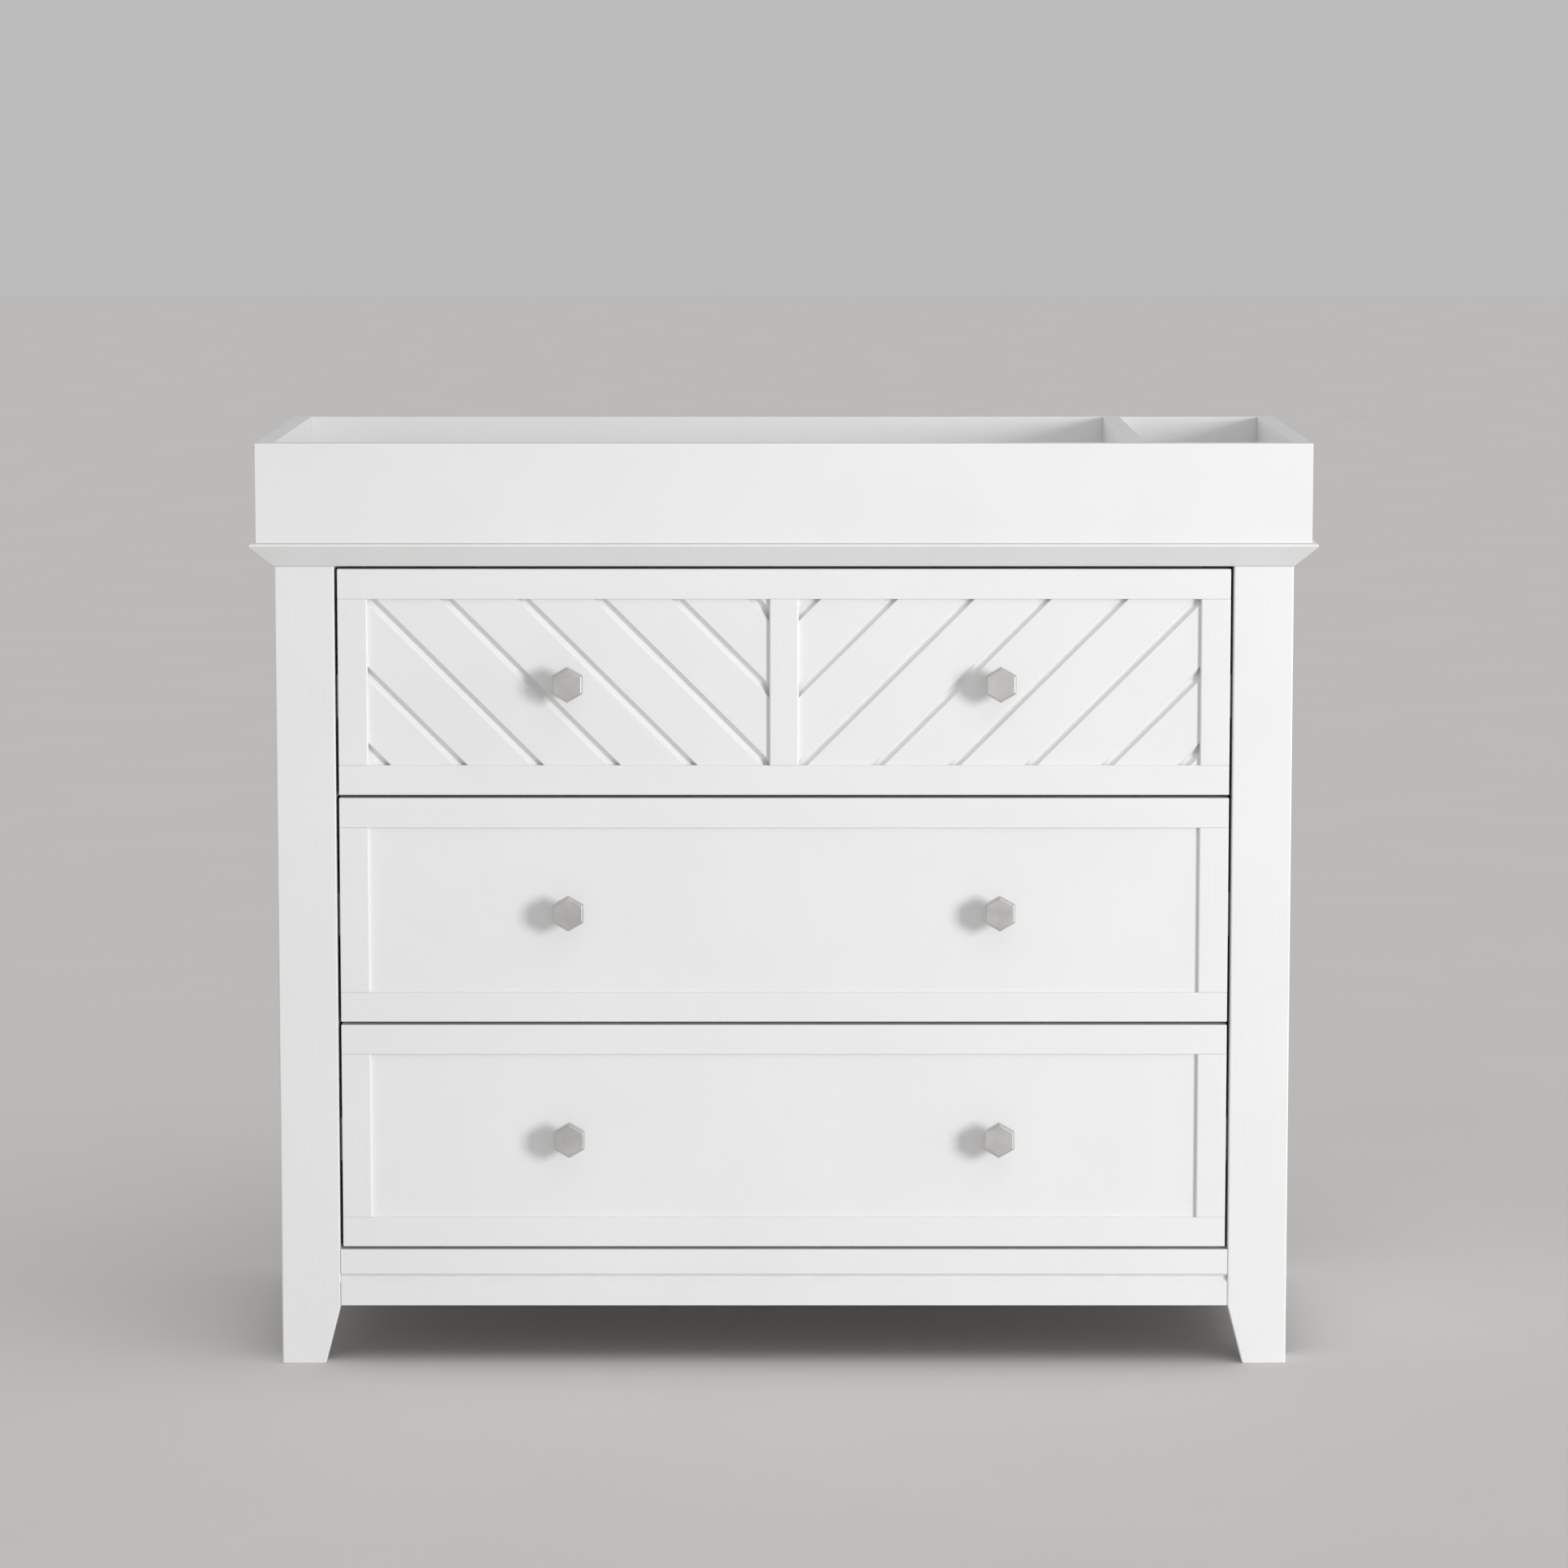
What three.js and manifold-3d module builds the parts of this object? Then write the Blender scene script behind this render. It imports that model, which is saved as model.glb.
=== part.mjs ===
// Changing table: a painted three-drawer nursery chest with a changing topper screwed on its top.
// Millimetres, +Z up, +X to the right as seen from the front, the front faces -Y.
// The origin is on the floor, under the centre of the whole object's box.
import * as THREE from "three";
import { mergeVertices } from "three/addons/utils/BufferGeometryUtils.js";
import Module from "manifold-3d";

// ---------------------------------------------------------------- driving dimensions

const JOINT_GAP = 0.3; // between pieces that are glued or screwed together
const REACH = 10; // how far a cutting shape runs past the piece that it cuts

// The chest's case.
const CASE_WIDTH = 1022;
const CASE_FRONT = -221;
const CASE_BACK = 249;
const CHEST_HEIGHT = 838.6;

// The top panel: a rounded lip over a moulding that slopes back to the legs.
const TOP_THICKNESS = 24;
const TOP_OVERHANG = 22.5;
const LIP_HEIGHT = 3;
const LIP_RADIUS = 2;
const TOP_UNDERSIDE = CHEST_HEIGHT - TOP_THICKNESS;

// The legs: two boards each, glued into an angle, with the inner edges tapered at the foot.
const LEG_WIDTH = 60;
const LEG_THICKNESS = 20;
const FOOT_WIDTH = 44.5;
const TAPER_HEIGHT = 60;

// The boards between the legs.
const PANEL_THICKNESS = 15;
const SIDE_PANEL_INSET = 6;
const BACK_PANEL_THICKNESS = 3.3;
const BACK_RAIL_HEIGHT = 60;
const APRON_HEIGHT = 58;
const APRON_GROOVE_BOTTOM = 23.7;
const APRON_GROOVE_HEIGHT = 9.1;
const APRON_GROOVE_DEPTH = 6.5;
const APRON_GROOVE_UNDERCUT = 4.2; // its deepest line under its upper edge

// The topper: an open frame for the changing pad, with a narrow compartment at the right.
const TOPPER_WIDTH = 1055;
const TOPPER_FRONT = -237.5;
const TOPPER_BACK = 243;
const TOPPER_HEIGHT = 100;
const TOPPER_WALL = 18;
const DIVIDER_LEFT = 343.6;

// The drawer fronts: a grooved frame that holds a thinner panel.
const FRONT_WIDTH = 896;
const FRONT_HEIGHT = 228;
const FRONT_THICKNESS = 20;
const FRONT_SPACING = 3.2;
const FRAME_MEMBER = 30;
const PANEL_RECESS = 4;
const FRONT_PANEL_THICKNESS = 9;
const PANEL_TONGUE = 6;
const CENTRE_STRIP_WIDTH = 30;

// The top drawer's chevron grooves run at 45 degrees and meet behind the centre strip.
const GROOVE_PITCH = 77.1; // measured straight up
const GROOVE_WIDTH = 9.8;
const GROOVE_DEPTH = 5.4;
const FIRST_GROOVE = 13; // height where the middle groove's line meets the centre, over the front
const GROOVES_BELOW = 5;
const GROOVES_ABOVE = 2;

// The drawer boxes.
const BOX_WALL = 12;
const BOX_BASE_THICKNESS = 5;
const BOX_BASE_RAISE = 10;
const BOX_LENGTH = 400;
const BOX_RAISE = 11; // the box's lower edge over the front's lower edge
const SLIDE_SPACE = 12.7;

// The telescopic slides: three nested steel channels, seen in section from the case to the drawer.
const SLIDE_STEEL = 1.2;
const SLIDE_START = -199;
const SLIDE_LENGTH = 400;
const CASE_CHANNEL = { near: 0.3, far: 10.3, height: 45, setback: 0, web: "near" };
const MIDDLE_CHANNEL = { near: 3.8, far: 10.6, height: 37, setback: 4, web: "near" };
const DRAWER_CHANNEL = { near: 6.2, far: 12.4, height: 29, setback: 2, web: "far" };

// The knobs: a hexagonal head on a round stem.
const KNOB_SPACING = 434;
const KNOB_PROJECTION = 28; // in front of the drawer front's face
const KNOB_ACROSS_CORNERS = 36;
const KNOB_BEVEL = 2;
const KNOB_HEAD = 9;
const KNOB_TAPER = 4;
const KNOB_STEM_RADIUS = 6.5;
const KNOB_FOOT_RADIUS = 9;
const KNOB_FOOT = 2.5;

// Worked out from the above.
const HALF_CASE = CASE_WIDTH / 2;
const HALF_OPENING = HALF_CASE - LEG_WIDTH;
const HALF_BOX = HALF_OPENING - SLIDE_SPACE;
const FRONT_BACK_FACE = CASE_FRONT + FRONT_THICKNESS;
const PANEL_FACE = CASE_FRONT + PANEL_RECESS;
const BACK_PANEL_FACE = CASE_BACK - LEG_THICKNESS - JOINT_GAP - BACK_PANEL_THICKNESS;
const APRON_BOTTOM = TAPER_HEIGHT;
const APRON_TOP = APRON_BOTTOM + APRON_HEIGHT;

const DRAWERS = [
  { level: "bottom", boxHeight: 192, chevron: false },
  { level: "middle", boxHeight: 192, chevron: false },
  { level: "top", boxHeight: 173, chevron: true },
];
const SIDES = [
  { hand: "left", sign: -1 },
  { hand: "right", sign: 1 },
];

// ---------------------------------------------------------------- materials

const finishes = {
  paint: { color: 0xf2f1ef, roughness: 0.45, metalness: 0 },
  boxLacquer: { color: 0xe9e7e2, roughness: 0.5, metalness: 0 },
  hardboard: { color: 0xb59a78, roughness: 0.8, metalness: 0 },
  zincPlate: { color: 0xb9bcbf, roughness: 0.35, metalness: 1 },
  satinNickel: { color: 0xb7b3ad, roughness: 0.38, metalness: 1 },
};

function finish(name) {
  return new THREE.MeshStandardMaterial(finishes[name]);
}

// ---------------------------------------------------------------- solid modelling

const wasm = await Module();
wasm.setup();

function solidFrom(geometry) {
  const shared = geometry.clone();
  shared.deleteAttribute("normal");
  shared.deleteAttribute("uv");
  const merged = mergeVertices(shared, 1e-4);
  return new wasm.Manifold(
    new wasm.Mesh({
      numProp: 3,
      vertProperties: merged.attributes.position.array,
      triVerts: new Uint32Array(merged.index.array),
    }),
  );
}

function geometryFrom(solid) {
  const { vertProperties, triVerts } = solid.getMesh();
  const geometry = new THREE.BufferGeometry();
  geometry.setAttribute("position", new THREE.BufferAttribute(vertProperties, 3));
  geometry.setIndex(new THREE.BufferAttribute(triVerts, 1));
  geometry.computeVertexNormals();
  return geometry;
}

// A box between two opposite corners.
function block(low, high) {
  const size = high.map((value, axis) => value - low[axis]);
  const centre = high.map((value, axis) => (value + low[axis]) / 2);
  return new THREE.BoxGeometry(...size).translate(...centre);
}

// An outline in the plane of two axes, pushed along the third from start to start + length.
function extrusion(outline, plane, start, length) {
  const shape = new THREE.Shape(outline.map(([a, b]) => new THREE.Vector2(a, b)));
  const geometry = new THREE.ExtrudeGeometry(shape, { depth: length, bevelEnabled: false });
  const x = new THREE.Vector3(1, 0, 0);
  const y = new THREE.Vector3(0, 1, 0);
  const z = new THREE.Vector3(0, 0, 1);
  if (plane === "yz") {
    return geometry.translate(0, 0, start).applyMatrix4(new THREE.Matrix4().makeBasis(y, z, x));
  }
  const away = y.clone().negate();
  return geometry
    .translate(0, 0, -start - length)
    .applyMatrix4(new THREE.Matrix4().makeBasis(x, z, away));
}

function named(name, geometry, finishName) {
  const mesh = new THREE.Mesh(geometry, finish(finishName));
  mesh.name = name;
  return mesh;
}

// A straight board between two opposite corners of its group.
function board(name, low, high, finishName = "paint") {
  const size = high.map((value, axis) => value - low[axis]);
  const mesh = named(name, new THREE.BoxGeometry(...size), finishName);
  mesh.position.set(...high.map((value, axis) => (value + low[axis]) / 2));
  return mesh;
}

// The two ends of a stretch from centre - half to centre + half, put in order along X.
function acrossSide(sign, inner, outer) {
  return sign < 0 ? [-outer, -inner] : [inner, outer];
}

// ---------------------------------------------------------------- top panel

// The edge seen in section, from the underside out to the lip and up: [outwards, height].
function topEdge() {
  const lip = [];
  const steps = 4;
  for (let i = 0; i <= steps; i += 1) {
    const angle = (i / steps) * (Math.PI / 2);
    lip.push([
      TOP_OVERHANG - LIP_RADIUS + LIP_RADIUS * Math.cos(angle),
      TOP_THICKNESS - LIP_RADIUS + LIP_RADIUS * Math.sin(angle),
    ]);
  }
  return [[0, 0], [TOP_OVERHANG, TOP_THICKNESS - LIP_HEIGHT], ...lip];
}

// One section across and one from front to back: what both hold is the moulded panel.
function topPanel() {
  const across = [
    ...topEdge().map(([out, up]) => [HALF_CASE + out, up]),
    ...topEdge().map(([out, up]) => [-HALF_CASE - out, up]).reverse(),
  ];
  const depth = [
    ...topEdge().map(([out, up]) => [CASE_FRONT - out, up]),
    [CASE_BACK, TOP_THICKNESS],
    [CASE_BACK, 0],
  ];
  const fromFront = extrusion(across, "xz", CASE_FRONT - 5 * REACH, 2 * CASE_WIDTH);
  const fromSide = extrusion(depth, "yz", -CASE_WIDTH, 2 * CASE_WIDTH);
  const solid = solidFrom(fromFront).intersect(solidFrom(fromSide));
  const mesh = named("top_panel", geometryFrom(solid), "paint");
  mesh.position.z = TOP_UNDERSIDE;
  return mesh;
}

// ---------------------------------------------------------------- legs

// One leg, modelled from its outer corner: a face board and a side board, joined at that corner.
function leg(end, { hand, sign }) {
  const inward = end === "front" ? 1 : -1;
  const height = TOP_UNDERSIDE - JOINT_GAP;
  const outline = (direction) => [
    [0, 0],
    [0, height],
    [direction * LEG_WIDTH, height],
    [direction * LEG_WIDTH, TAPER_HEIGHT],
    [direction * FOOT_WIDTH, 0],
  ];
  const faceStart = inward > 0 ? 0 : -LEG_THICKNESS;
  const sideStart = sign < 0 ? 0 : -LEG_THICKNESS;
  const face = extrusion(outline(-sign), "xz", faceStart, LEG_THICKNESS);
  const side = extrusion(outline(inward), "yz", sideStart, LEG_THICKNESS);
  const angle = solidFrom(face).add(solidFrom(side));
  const mesh = named(`${end}_leg_${hand}`, geometryFrom(angle), "paint");
  mesh.position.set(sign * HALF_CASE, end === "front" ? CASE_FRONT : CASE_BACK, 0);
  return mesh;
}

// ---------------------------------------------------------------- case boards

// The outer side panel stands between the legs, the runner board carries the slides.
function caseSide({ hand, sign }) {
  const top = TOP_UNDERSIDE - JOINT_GAP;
  const bottom = APRON_BOTTOM;
  const panelFace = HALF_CASE - SIDE_PANEL_INSET;
  const panelX = acrossSide(sign, panelFace - PANEL_THICKNESS, panelFace);
  const runnerX = acrossSide(sign, HALF_OPENING, HALF_OPENING + PANEL_THICKNESS);
  const legInset = LEG_WIDTH + JOINT_GAP;
  return [
    board(
      `side_panel_${hand}`,
      [panelX[0], CASE_FRONT + legInset, bottom],
      [panelX[1], CASE_BACK - legInset, top],
    ),
    board(
      `runner_board_${hand}`,
      [runnerX[0], CASE_FRONT + LEG_THICKNESS + JOINT_GAP, bottom],
      [runnerX[1], BACK_PANEL_FACE - JOINT_GAP, top],
    ),
  ];
}

// The apron closes the front under the bottom drawer; one lopsided V groove runs along it.
function frontApron() {
  const half = HALF_OPENING - JOINT_GAP;
  const plain = block([-half, 0, 0], [half, LEG_THICKNESS, APRON_HEIGHT]);
  const grooveTop = APRON_GROOVE_BOTTOM + APRON_GROOVE_HEIGHT;
  const section = [
    [-REACH, APRON_GROOVE_BOTTOM],
    [0, APRON_GROOVE_BOTTOM],
    [APRON_GROOVE_DEPTH, grooveTop - APRON_GROOVE_UNDERCUT],
    [0, grooveTop],
    [-REACH, grooveTop],
  ];
  const groove = extrusion(section, "yz", -half - REACH, 2 * (half + REACH));
  const mesh = named("front_apron", geometryFrom(solidFrom(plain).subtract(solidFrom(groove))), "paint");
  mesh.position.set(0, CASE_FRONT, APRON_BOTTOM);
  return mesh;
}

function basePanel() {
  const half = HALF_OPENING - JOINT_GAP;
  return board(
    "base_panel",
    [-half, CASE_FRONT + LEG_THICKNESS + JOINT_GAP, APRON_TOP - PANEL_THICKNESS],
    [half, BACK_PANEL_FACE - JOINT_GAP, APRON_TOP],
  );
}

// The back panel lies against the back legs; the rail over it takes the wall strap.
function caseBack() {
  const half = HALF_CASE - LEG_THICKNESS - JOINT_GAP;
  const railHalf = HALF_OPENING - JOINT_GAP;
  const top = TOP_UNDERSIDE - JOINT_GAP;
  return [
    board(
      "back_panel",
      [-half, BACK_PANEL_FACE, APRON_BOTTOM],
      [half, BACK_PANEL_FACE + BACK_PANEL_THICKNESS, top],
      "hardboard",
    ),
    board(
      "back_top_rail",
      [-railHalf, CASE_BACK - LEG_THICKNESS, top - BACK_RAIL_HEIGHT],
      [railHalf, CASE_BACK, top],
    ),
  ];
}

// ---------------------------------------------------------------- topper

// The front and back walls run the full width, the side walls and the divider stand between them.
function topper() {
  const half = TOPPER_WIDTH / 2;
  const bottom = JOINT_GAP;
  const innerFront = TOPPER_FRONT + TOPPER_WALL + JOINT_GAP;
  const innerBack = TOPPER_BACK - TOPPER_WALL - JOINT_GAP;
  const crossWall = (name, left) =>
    board(name, [left, innerFront, bottom], [left + TOPPER_WALL, innerBack, TOPPER_HEIGHT]);
  const longWall = (name, front) =>
    board(name, [-half, front, bottom], [half, front + TOPPER_WALL, TOPPER_HEIGHT]);
  const group = new THREE.Group();
  group.position.z = CHEST_HEIGHT;
  group.add(
    longWall("topper_front", TOPPER_FRONT),
    longWall("topper_back", TOPPER_BACK - TOPPER_WALL),
    crossWall("topper_left", -half),
    crossWall("topper_right", half - TOPPER_WALL),
    crossWall("topper_divider", DIVIDER_LEFT),
  );
  return group;
}

// ---------------------------------------------------------------- drawer slides

// A pressed channel: a web along the near or far side, with a flange along its top and bottom.
function slideMember(name, { near, far, height, setback, web }, sign) {
  const half = height / 2;
  const inner = half - SLIDE_STEEL;
  const back = web === "near" ? near : far;
  const lip = web === "near" ? far : near;
  const webFace = web === "near" ? near + SLIDE_STEEL : far - SLIDE_STEEL;
  const section = [
    [back, -half],
    [lip, -half],
    [lip, -inner],
    [webFace, -inner],
    [webFace, inner],
    [lip, inner],
    [lip, half],
    [back, half],
  ].map(([fromCase, up]) => [sign * (HALF_OPENING - fromCase), up]);
  const geometry = extrusion(section, "xz", 0, SLIDE_LENGTH - 2 * setback);
  const mesh = named(name, geometry, "zincPlate");
  mesh.position.y = SLIDE_START + setback;
  return mesh;
}

// ---------------------------------------------------------------- drawer fronts

// The glued frame: rails and stiles with a groove round the inside for the panel.
function frontFrame(name, chevron) {
  const half = FRONT_WIDTH / 2;
  const groove = FRAME_MEMBER - PANEL_TONGUE;
  const outer = block([-half, 0, 0], [half, FRONT_THICKNESS, FRONT_HEIGHT]);
  const opening = block(
    [FRAME_MEMBER - half, -REACH, FRAME_MEMBER],
    [half - FRAME_MEMBER, FRONT_THICKNESS + REACH, FRONT_HEIGHT - FRAME_MEMBER],
  );
  const slot = block(
    [groove - half, PANEL_RECESS - JOINT_GAP, groove],
    [half - groove, PANEL_RECESS + FRONT_PANEL_THICKNESS + JOINT_GAP, FRONT_HEIGHT - groove],
  );
  let solid = solidFrom(outer).subtract(solidFrom(opening)).subtract(solidFrom(slot));
  if (chevron) {
    const strip = block(
      [-CENTRE_STRIP_WIDTH / 2, 0, FRAME_MEMBER - PANEL_RECESS],
      [CENTRE_STRIP_WIDTH / 2, PANEL_RECESS - JOINT_GAP, FRONT_HEIGHT - FRAME_MEMBER + PANEL_RECESS],
    );
    solid = solid.add(solidFrom(strip));
  }
  const mesh = named(name, geometryFrom(solid), "paint");
  mesh.position.y = CASE_FRONT;
  return mesh;
}

// A V cutter that starts at the centre line and climbs outwards at 45 degrees.
function chevronCutter(height, sign) {
  const halfRise = (GROOVE_WIDTH / 2) * Math.SQRT2;
  const widen = (GROOVE_DEPTH + REACH) / GROOVE_DEPTH;
  const section = [
    [-REACH, -halfRise * widen],
    [-REACH, halfRise * widen],
    [GROOVE_DEPTH, 0],
  ];
  const length = FRONT_WIDTH / 2;
  const climb = new THREE.Matrix4().makeShear(0, sign, 0, 0, 0, 0);
  return extrusion(section, "yz", sign < 0 ? -length : 0, length)
    .applyMatrix4(climb)
    .translate(0, 0, height);
}

function frontPanel(name, chevron) {
  const inset = FRAME_MEMBER - PANEL_TONGUE + JOINT_GAP;
  const half = FRONT_WIDTH / 2 - inset;
  let solid = solidFrom(block([-half, 0, inset], [half, FRONT_PANEL_THICKNESS, FRONT_HEIGHT - inset]));
  if (chevron) {
    for (let step = -GROOVES_BELOW; step <= GROOVES_ABOVE; step += 1) {
      for (const { sign } of SIDES) {
        solid = solid.subtract(solidFrom(chevronCutter(FIRST_GROOVE + step * GROOVE_PITCH, sign)));
      }
    }
  }
  const mesh = named(name, geometryFrom(solid), "paint");
  mesh.position.y = PANEL_FACE;
  return mesh;
}

// ---------------------------------------------------------------- knobs

// Both profiles run from the centre of the knob's face back towards the drawer: [radius, depth].
function knob(name, sign) {
  const length = KNOB_PROJECTION + PANEL_RECESS;
  const corner = KNOB_ACROSS_CORNERS / 2;
  const headProfile = [
    [0, -length],
    [corner - KNOB_BEVEL, -length],
    [corner, KNOB_BEVEL - length],
    [corner, KNOB_HEAD - length],
    [KNOB_STEM_RADIUS, KNOB_HEAD + KNOB_TAPER - length],
    [0, KNOB_HEAD + KNOB_TAPER - length],
  ];
  const stemProfile = [
    [0, KNOB_HEAD - length],
    [KNOB_STEM_RADIUS, KNOB_HEAD - length],
    [KNOB_STEM_RADIUS, -2 * KNOB_FOOT],
    [KNOB_FOOT_RADIUS, -KNOB_FOOT],
    [KNOB_FOOT_RADIUS, -JOINT_GAP],
    [0, -JOINT_GAP],
  ];
  const turned = (profile, sides) =>
    solidFrom(new THREE.LatheGeometry(profile.map(([r, y]) => new THREE.Vector2(r, y)), sides));
  const solid = turned(headProfile, 6).add(turned(stemProfile, 24));
  const mesh = named(name, geometryFrom(solid), "satinNickel");
  mesh.position.set((sign * KNOB_SPACING) / 2, PANEL_FACE, FRONT_HEIGHT / 2);
  return mesh;
}

// ---------------------------------------------------------------- drawer boxes

// The sides butt against the front's stiles; the back and the base stand between the sides.
function drawerBox(prefix, boxHeight) {
  const top = BOX_RAISE + boxHeight;
  const start = FRONT_BACK_FACE + JOINT_GAP;
  const end = start + BOX_LENGTH;
  const innerHalf = HALF_BOX - BOX_WALL - JOINT_GAP;
  const backStart = end - BOX_WALL;
  const sides = SIDES.map(({ hand, sign }) => {
    const [left, right] = acrossSide(sign, HALF_BOX - BOX_WALL, HALF_BOX);
    return board(`${prefix}_side_${hand}`, [left, start, BOX_RAISE], [right, end, top], "boxLacquer");
  });
  return [
    ...sides,
    board(`${prefix}_back`, [-innerHalf, backStart, BOX_RAISE], [innerHalf, end, top], "boxLacquer"),
    board(
      `${prefix}_base`,
      [-innerHalf, start, BOX_RAISE + BOX_BASE_RAISE],
      [innerHalf, backStart - JOINT_GAP, BOX_RAISE + BOX_BASE_RAISE + BOX_BASE_THICKNESS],
      "hardboard",
    ),
  ];
}

// One drawer, from its front's lower edge, with its half of each slide.
function drawer({ level, boxHeight, chevron }) {
  const prefix = `${level}_drawer`;
  const group = new THREE.Group();
  group.add(
    frontFrame(`${prefix}_front_frame`, chevron),
    frontPanel(`${prefix}_front_panel`, chevron),
    ...SIDES.map(({ hand, sign }) => knob(`${prefix}_knob_${hand}`, sign)),
    ...drawerBox(prefix, boxHeight),
    slides(level, "drawer_member", DRAWER_CHANNEL, BOX_RAISE + boxHeight / 2),
  );
  return group;
}

// The same member of a drawer's left and right slides.
function slides(level, member, channel, height) {
  const pair = new THREE.Group();
  pair.position.z = height;
  for (const { hand, sign } of SIDES) {
    pair.add(slideMember(`${level}_slide_${hand}_${member}`, channel, sign));
  }
  return pair;
}

// ---------------------------------------------------------------- assembly

const changingTable = new THREE.Group();
changingTable.add(topPanel(), frontApron(), basePanel(), ...caseBack(), topper());
for (const side of SIDES) {
  changingTable.add(leg("front", side), leg("back", side), ...caseSide(side));
}
DRAWERS.forEach((row, index) => {
  const place = new THREE.Group();
  place.position.z = APRON_TOP + FRONT_SPACING + index * (FRONT_HEIGHT + FRONT_SPACING);
  const slideHeight = BOX_RAISE + row.boxHeight / 2;
  place.add(
    drawer(row),
    slides(row.level, "middle_member", MIDDLE_CHANNEL, slideHeight),
    slides(row.level, "case_member", CASE_CHANNEL, slideHeight),
  );
  changingTable.add(place);
});

export default changingTable;
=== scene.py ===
import math

import bmesh
import bpy
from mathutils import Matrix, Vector


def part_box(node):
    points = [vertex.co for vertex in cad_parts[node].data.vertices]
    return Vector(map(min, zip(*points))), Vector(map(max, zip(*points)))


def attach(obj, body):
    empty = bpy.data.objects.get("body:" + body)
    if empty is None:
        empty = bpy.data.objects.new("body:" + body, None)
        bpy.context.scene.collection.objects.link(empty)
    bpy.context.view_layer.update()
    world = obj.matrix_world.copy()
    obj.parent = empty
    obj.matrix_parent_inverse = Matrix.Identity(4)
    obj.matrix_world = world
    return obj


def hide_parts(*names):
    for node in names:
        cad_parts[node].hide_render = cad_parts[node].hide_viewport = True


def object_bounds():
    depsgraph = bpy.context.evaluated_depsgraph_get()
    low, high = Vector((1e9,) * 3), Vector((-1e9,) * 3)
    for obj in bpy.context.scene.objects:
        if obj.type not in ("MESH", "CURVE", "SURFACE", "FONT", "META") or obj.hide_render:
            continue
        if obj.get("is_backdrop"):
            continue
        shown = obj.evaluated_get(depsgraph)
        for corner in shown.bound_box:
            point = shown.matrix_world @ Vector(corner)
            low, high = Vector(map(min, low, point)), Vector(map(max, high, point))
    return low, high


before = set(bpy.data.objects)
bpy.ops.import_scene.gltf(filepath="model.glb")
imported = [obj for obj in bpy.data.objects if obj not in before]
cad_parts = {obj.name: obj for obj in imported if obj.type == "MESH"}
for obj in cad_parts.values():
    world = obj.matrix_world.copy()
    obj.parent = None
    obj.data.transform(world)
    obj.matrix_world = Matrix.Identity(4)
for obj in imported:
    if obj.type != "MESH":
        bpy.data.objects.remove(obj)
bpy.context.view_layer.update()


# Legs -----------------------------------------------------------------------------------------
# Each corner leg is two 20 mm boards of solid wood glued into an angle, the inner edges tapered
# at the foot and every long edge rounded over before the leg is sprayed white.

SIDES = {"left": -1, "right": 1}
LEG_BOARD = 0.020
FOOT_WIDTH = 0.0445
TAPER_HEIGHT = 0.060
LEG_ROUNDING = 0.0018
LEG_INNER_ROUNDING = 0.0008
FOOT_EASE = 0.0006


def rounded_outline(corners, radii, steps=4):
    """An outline with its corners rounded over: a square one becomes a quarter circle."""
    points = []
    for i, (u, v) in enumerate(corners):
        here = Vector((u, v))
        before = (Vector(corners[i - 1]) - here).normalized()
        after = (Vector(corners[(i + 1) % len(corners)]) - here).normalized()
        centre = here + radii[i] * (before + after)
        for step in range(steps + 1):
            turn = step / steps * math.pi / 2
            points.append(centre - radii[i] * (after * math.cos(turn) + before * math.sin(turn)))
    return points


def loft(rings):
    """A closed solid through rings of points, with a flat cap at each end."""
    shape = bmesh.new()
    rows = [[shape.verts.new(point) for point in ring] for ring in rings]
    count = len(rows[0])
    for lower, upper in zip(rows, rows[1:]):
        for i in range(count):
            j = (i + 1) % count
            shape.faces.new((lower[i], lower[j], upper[j], upper[i]))
    shape.faces.new(list(reversed(rows[0])))
    shape.faces.new(rows[-1])
    return shape


SHARP_ANGLE = math.radians(26)
SAME_HEIGHT = 1e-6
EASED_FACE_WIDTH = 0.0016


def make_piece(name, shape, body, finish, stands_for=(), creases=()):
    """Turns a finished shape into a piece that rides on a body and takes a finish.
    creases are heights where the shading breaks, however flat the bend there is."""
    bmesh.ops.recalc_face_normals(shape, faces=shape.faces)
    # Cutting and bevelling leave the faces in a chance order, so they are put in a fixed one.
    shape.verts.index_update()
    faces = []
    for face in shape.faces:
        ring = [vert.index for vert in face.verts]
        first = ring.index(min(ring))
        faces.append(ring[first:] + ring[:first])
    mesh = bpy.data.meshes.new(name)
    mesh.from_pydata([vert.co for vert in shape.verts], [], sorted(faces))
    shape.free()
    mesh.materials.append(finish)
    mesh.polygons.foreach_set("use_smooth", [True] * len(mesh.polygons))
    mesh.set_sharp_from_angle(angle=SHARP_ANGLE)
    for edge in mesh.edges:
        ends = [mesh.vertices[i].co.z for i in edge.vertices]
        if any(all(abs(end - z) < SAME_HEIGHT for end in ends) for z in creases):
            edge.use_edge_sharp = True
    # Rounded edges are narrow faces: the paint wears and pulls thin there.
    worn = mesh.attributes.new("edge", "FLOAT", "CORNER")
    for face in mesh.polygons:
        spots = [mesh.vertices[i].co for i in face.vertices]
        shortest = min((spots[i] - spots[i - 1]).length for i in range(len(spots)))
        narrow = 1.0 if len(spots) <= 4 and shortest < EASED_FACE_WIDTH else 0.0
        for corner in face.loop_indices:
            worn.data[corner].value = narrow
    piece = bpy.data.objects.new(name, mesh)
    bpy.context.scene.collection.objects.link(piece)
    piece.modifiers.new("even_shading", "WEIGHTED_NORMAL").keep_sharp = True
    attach(piece, body)
    if stands_for:
        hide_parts(*stands_for)
    return piece


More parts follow.
